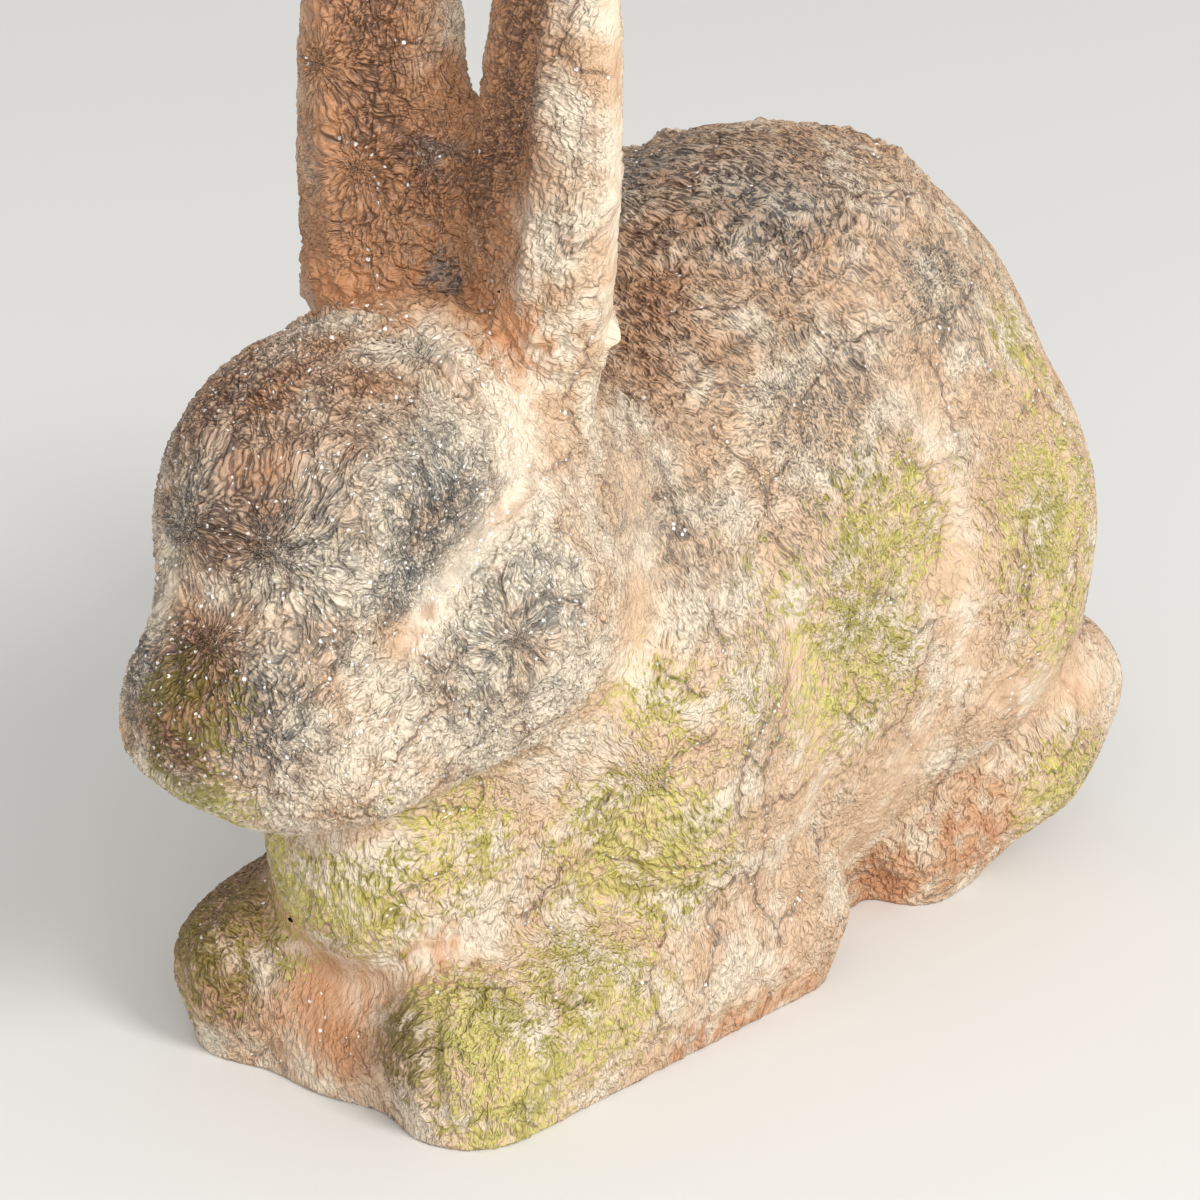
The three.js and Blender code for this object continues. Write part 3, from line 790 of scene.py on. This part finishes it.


# Colours of the paint, its washes, the moss, the bare clay, and the chips, which are partly painted
# glints
CREAM = srgb(0.88, 0.82, 0.73)
PEACH = srgb(0.82, 0.69, 0.56)
ORANGE = srgb(0.71, 0.50, 0.34)
SLATE_BLUE = srgb(0.16, 0.20, 0.24)
STROKE_GREY = srgb(0.42, 0.41, 0.39)
SLATE_HAZE = srgb(0.55, 0.56, 0.53)
BURGUNDY = srgb(0.23, 0.12, 0.10)
BROWN = srgb(0.62, 0.46, 0.35)
MOSS_DEEP = srgb(0.62, 0.59, 0.19)
MOSS_DARK = srgb(0.42, 0.34, 0.12)
MOSS_BRIGHT = srgb(0.80, 0.77, 0.42)
TERRACOTTA = srgb(0.78, 0.55, 0.38)
CHIP_AND_GLINT = srgb(0.98, 0.97, 0.95)


def coated_casting():
    """Cream and peach paint, with washes caught in its strokes, wrinkles and cracks, painted shade and
    glints.
    """
    f = Finish("coated_casting")
    place, flow = f.place(), f.attribute("flow", "Vector")
    slate, umber_and_painted_shade, amber_and_painted_shade = f.attribute("slate"), f.attribute("umber_and_painted_shade"), f.attribute("amber_and_painted_shade")
    moss, bare, clay = f.attribute("moss"), f.attribute("bare"), f.attribute("clay")
    bold, fanned, over = f.attribute("bold"), f.attribute("fanned"), f.attribute("over")
    around = f.wound(flow)
    stroke = f.between(over, f.read(STROKES, flow), f.read(STROKES, around))
    stroke = f.between(fanned, stroke, f.read(FAN_STROKES, flow))
    broad_stroke = f.between(over, f.read(BROAD_STROKES, flow), f.read(BROAD_STROKES, around))
    wrinkle = f.lines(WRINKLES, flow)
    plate = f.cells(PLATES, f.shaken(flow, 1.8, 0.7))
    sheet = f.cells(SHEETS, f.shaken(flow, 4.0, 1.7))
    broad = f.read(((14, 14, 14), (11.0, 2.0, 5.0)), place)
    mottle = f.read(((4.5, 4.5, 4.5), (1.0, 12.0, 6.0)), flow)
    fine = f.read(((0.6, 0.6, 0.6), (3.0, 1.0, 9.0)), place)
    # The darker of the two washes at each point, which through the brown wash is partly painted shade
    wash = f.math("MAXIMUM", slate, umber_and_painted_shade)
    tidy = f.scaled(bare, -0.85, 1.0)

    # Paint: cream on the ridges, peach in broad drifts, orange and brown where they were brushed on
    # and, on the ear fronts, the web, the far ear, the far paw and the nose, as painted shade
    warm = f.step(f.scaled(bold, -0.5, f.scaled(mottle, 0.5, broad)), -0.8, 0.3, 0.0, 0.9)
    colour = f.blend(warm, CREAM, PEACH)
    # Orange where the orange wash lies, partly paint and partly painted warm shade
    colour = f.blend(f.step(f.scaled(broad, 0.3, amber_and_painted_shade), 0.1, 0.9, 0.0, 0.95), colour, ORANGE)
    colour = f.blend(f.step(f.scaled(mottle, 0.5, clay), 0.15, 0.9, 0.0, 0.85), colour, TERRACOTTA)
    # Brown where the brown wash lies, partly paint and partly painted shade
    colour = f.blend(f.step(f.scaled(mottle, 0.4, umber_and_painted_shade), 0.1, 1.1, 0.0, 0.5), colour, BROWN)

    # Cracks between the sheets of paint: broken, thin, with a warm lip beside them
    broken = f.step(f.read(((16, 16, 16), (5.0, 9.0, 1.0)), flow), -0.12, 0.04)
    crack = f.scaled(broken, -3.0, f.math("ADD", sheet, 3.0))
    colour = f.blend(f.step(crack, 0.2, 2.2, 0.3, 0.0), colour, ORANGE)

    # Haze of slate rubbed over the ridges where the wash is strong
    hazed = f.scaled(fine, 0.3, f.scaled(mottle, 0.5, slate))
    colour = f.blend(f.step(hazed, 0.2, 1.1, 0.0, 0.55), colour, SLATE_HAZE)

    # Wash in the strokes, the wrinkles and round the plates: wider and darker where it is strong, which
    # with the brown wash is partly painted shade
    edge = f.scaled(mottle, -0.3, f.scaled(wash, -0.38, 0.33))
    ragged = f.scaled(fine, 0.15, f.scaled(broad_stroke, 0.4, stroke))
    dash = f.step(f.math("SUBTRACT", ragged, edge), 0.0, 0.16)
    width = f.scaled(mottle, 0.16, f.scaled(wash, 0.26, -0.06))
    round_plate = f.step(f.math("SUBTRACT", plate, width), -0.1, 0.12, 1.0, 0.0)
    in_wrinkle = f.step(f.math("SUBTRACT", wrinkle, width), -0.1, 0.1, 0.9, 0.0)
    bolder = f.math("MAXIMUM", round_plate, f.math("MAXIMUM", in_wrinkle, f.math("MULTIPLY", dash, 0.75)))
    groove = f.between(bold, f.math("MULTIPLY", dash, 0.75), bolder)
    depth = f.math("MAXIMUM", wash, f.math("MULTIPLY", bold, 0.5))
    cover = f.scaled(wash, 0.64, f.scaled(bold, -0.11, 0.4))
    groove = f.math("MULTIPLY", groove, cover, clamp=True)
    groove = f.math("MAXIMUM", groove, f.step(crack, 0.1, 0.36, 0.6, 0.0))
    groove = f.math("MULTIPLY", groove, tidy)
    # Burgundy in the grooves where the brown wash outweighs the slate, partly painted shade
    reddish = f.step(f.scaled(mottle, 0.5, f.math("SUBTRACT", umber_and_painted_shade, slate)), -0.15, 0.5)
    dark = f.blend(reddish, SLATE_BLUE, BURGUNDY)
    dark = f.blend(f.step(depth, 0.15, 0.7), STROKE_GREY, dark)
    colour = f.blend(groove, colour, dark)

    # Moss: a thin cover with broken dabs that follow the strokes, deeper in the grooves, and darker
    # under the brown wash, which is partly painted shade
    thin = f.step(f.scaled(mottle, 0.35, moss), 0.3, 1.1, 0.0, 0.4)
    dab = f.read(((0.9, 0.9, 1.6), (7.0, 7.0, 2.0)), flow)
    vigour = f.scaled(mottle, 0.5, f.scaled(dab, 0.8, 0.5))
    dabs = f.step(f.math("MULTIPLY", moss, vigour), 0.28, 0.42, 0.0, 0.8)
    green = f.blend(f.step(f.scaled(groove, -0.8, broad), -0.5, 0.35), MOSS_DEEP, MOSS_BRIGHT)
    green = f.blend(f.step(umber_and_painted_shade, 0.2, 0.8, 0.0, 0.85), green, MOSS_DARK)
    colour = f.blend(f.math("MAXIMUM", thin, dabs), colour, green)

    # Small white chips along the cracks and where plates meet, which are partly painted glints of the
    # varnish
    speck = f.cells((2.3, 2.3, 2.3), place, "F1")
    beside = f.math("MINIMUM", crack, f.scaled(bold, -3.0, f.scaled(plate, 2.2, 3.0)))
    chips_and_glints = f.math("MULTIPLY", f.step(speck, 0.42, 0.58, 1.0, 0.0), f.step(beside, 0.45, 0.6, 1.0, 0.0))
    colour = f.blend(f.math("MULTIPLY", chips_and_glints, 0.95), colour, CHIP_AND_GLINT)
    f.plug(f.shader.inputs["Base Color"], colour)

    # Varnish: a dull gloss on the ridges, brighter down in the grooves
    f.plug(f.shader.inputs["Roughness"], f.scaled(groove, -0.2, 0.5))
    soft = f.step(broad_stroke, -0.3, 0.35, 0.45, 0.0)
    soft = f.math("ADD", soft, f.step(stroke, -0.3, 0.35, 0.25, 0.0))
    puffed = f.scaled(f.step(wrinkle, 0.0, 0.7), 0.4, f.math("MULTIPLY", soft, 0.6))
    puffed = f.scaled(f.step(plate, 0.0, 0.9), 0.5, puffed)
    height = f.between(bold, f.scaled(f.step(wrinkle, 0.0, 0.6), 0.2, soft), puffed)
    height = f.scaled(f.step(crack, 0.0, 0.8), 0.5, height)
    height = f.math("MULTIPLY", height, tidy)
    height = f.scaled(fine, 0.06, height)
    bump = f.node("ShaderNodeBump")
    bump.inputs["Strength"].default_value = 1.0
    bump.inputs["Distance"].default_value = 1.35 * MM
    f.plug(bump.inputs["Height"], height)
    f.plug(f.shader.inputs["Normal"], bump.outputs[0])
    return f.material


def rough_mineral(name, colour, darker):
    """Mortar and cement: a mottled mineral with fine grit."""
    f = Finish(name)
    place = f.place()
    mottle = f.read(((7, 7, 7), (2.0, 5.0, 1.0)), place)
    grit = f.read(((0.9, 0.9, 0.9), (6.0, 1.0, 8.0)), place)
    share = f.step(f.scaled(grit, 0.6, mottle), -0.7, 0.8)
    f.plug(f.shader.inputs["Base Color"], f.blend(share, darker, colour))
    f.shader.inputs["Roughness"].default_value = 0.9
    bump = f.node("ShaderNodeBump")
    bump.inputs["Strength"].default_value = 0.5
    bump.inputs["Distance"].default_value = 0.4 * MM
    f.plug(bump.inputs["Height"], f.scaled(grit, 0.5, mottle))
    f.plug(f.shader.inputs["Normal"], bump.outputs[0])
    return f.material


def galvanised():
    """Zinc over steel, in paler and darker spangles."""
    f = Finish("dowel_steel")
    f.shader.inputs["Metallic"].default_value = 1.0
    spangle = f.read(((2.5, 2.5, 2.5), (1.0, 3.0, 7.0)), f.place())
    share = f.step(spangle, -0.5, 0.5)
    f.plug(f.shader.inputs["Base Color"], f.blend(share, srgb(0.58, 0.59, 0.6), srgb(0.72, 0.73, 0.74)))
    f.plug(f.shader.inputs["Roughness"], f.step(spangle, -0.5, 0.5, 0.35, 0.5))
    return f.material


def floor_and_light():
    """A plain pale floor, a soft key light, a weaker one beside it and a plain pale surround."""
    floor_mesh = bpy.data.meshes.new("floor")
    side = 6.0
    corners = [(-side, -side, 0), (side, -side, 0), (side, side, 0), (-side, side, 0)]
    floor_mesh.from_pydata(corners, [], [(0, 1, 2, 3)])
    floor = bpy.data.objects.new("floor", floor_mesh)
    bpy.context.scene.collection.objects.link(floor)
    f = Finish("pale_floor")
    f.shader.inputs["Base Color"].default_value = srgb(0.90, 0.897, 0.89)
    f.shader.inputs["Roughness"].default_value = 0.9
    f.shader.inputs["Specular IOR Level"].default_value = 0.1
    floor_mesh.materials.append(f.material)

    soft_light("key", 1.2, 106.0, (1.0, 0.985, 0.96), Vector((1.0, -0.2, 0.72)), 4.2)
    soft_light("fill", 1.6, 19.0, (1.0, 1.0, 1.0), Vector((0.7, -0.8, 0.4)), 2.2)

    world = bpy.data.worlds.new("surround")
    world.use_nodes = True
    background = world.node_tree.nodes["Background"]
    background.inputs["Color"].default_value = srgb(0.93, 0.928, 0.922)
    background.inputs["Strength"].default_value = 0.74
    bpy.context.scene.world = world


def soft_light(name, size, power, colour, direction, distance):
    """A square light of some metres and watts, aimed at the rabbit's middle from a direction."""
    light = bpy.data.lights.new(name, "AREA")
    light.shape = "SQUARE"
    light.size = size
    light.energy = power
    light.color = colour
    target = Vector((0, 0, 0.12))
    obj = bpy.data.objects.new(name, light)
    obj.location = target + direction.normalized() * distance
    obj.rotation_euler = (target - obj.location).to_track_quat("-Z", "Y").to_euler()
    bpy.context.scene.collection.objects.link(obj)


def camera():
    """The photograph's view: how far round and up the camera stands, and what it looks at."""
    azimuth, elevation, distance = math.radians(38.5), math.radians(23.5), 1.2
    target = Vector((0.013, 0, 0.108)) + Vector(SHOULDER.tolist()) * MM
    back = Vector((
        math.sin(azimuth) * math.cos(elevation),
        -math.cos(azimuth) * math.cos(elevation),
        math.sin(elevation),
    ))
    lens = bpy.data.cameras.new("camera")
    lens.angle = math.radians(15)
    lens.clip_end = 50
    obj = bpy.data.objects.new("camera", lens)
    obj.location = target + back * distance
    obj.rotation_euler = (-back).to_track_quat("-Z", "Y").to_euler()
    bpy.context.scene.collection.objects.link(obj)
    bpy.context.scene.camera = obj


def dress_castings():
    """The nodes that show underneath keep their shape and get their own finish."""
    mortar = rough_mineral("mortar", srgb(0.74, 0.65, 0.55), srgb(0.6, 0.51, 0.42))
    cement = rough_mineral("slab_cement", srgb(0.76, 0.52, 0.38), srgb(0.62, 0.4, 0.28))
    steel = galvanised()
    finishes = {
        "base_slab": cement, "slab_bed_mortar": mortar, "seam_mortar": mortar,
        "ear_seam_mortar": mortar, "ear_bed_mortar": mortar,
        "ear_dowel_left": steel, "ear_dowel_right": steel,
    }
    for node, finish in finishes.items():
        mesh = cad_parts[node].data
        mesh.materials.clear()
        mesh.materials.append(finish)


def make_coat():
    """The coat in its parts, kept inside the solids' outer box. Its rims are turned in along the
    form's normals, levelled square to the parting: across the body, and upright for the ears."""
    points, inward, quads, rows_y, rows_z, washes, flow = coat()
    points = points + SHOULDER
    low, high = (np.array(corner) / MM for corner in cad_box)
    points = np.clip(points, low, high)
    normals = point_normals(points, quads)
    names = [
        "coat_muzzle", "coat_face", "coat_shoulders", "coat_sides", "coat_back", "coat_haunches",
        "coat_rump", "coat_tail", "coat_ears",
    ]
    zone = np.searchsorted(PARTINGS, rows_y)
    zone[(rows_z >= EARS_BELOW) & (rows_y < EARS_BEHIND)] = names.index("coat_ears")
    body_nodes = ("shell_left", "shell_right", "seam_mortar")
    ear_nodes = ("ear_left", "ear_right", "ear_seam_mortar", "ear_bed_mortar")
    depth = -RIM_DEPTH * inward
    material = coated_casting()
    for number, name in enumerate(names):
        part = quads[zone == number]
        replaced = ear_nodes if name == "coat_ears" else body_nodes
        level = (1, 1, 0) if name == "coat_ears" else (1, 0, 1)
        coat_piece(name, points, normals, depth * level, part, washes, flow, material, replaced)
        print(name, 2 * len(part))


camera()
floor_and_light()
dress_castings()
make_coat()
view = bpy.context.scene.view_settings
view.view_transform = "Standard"
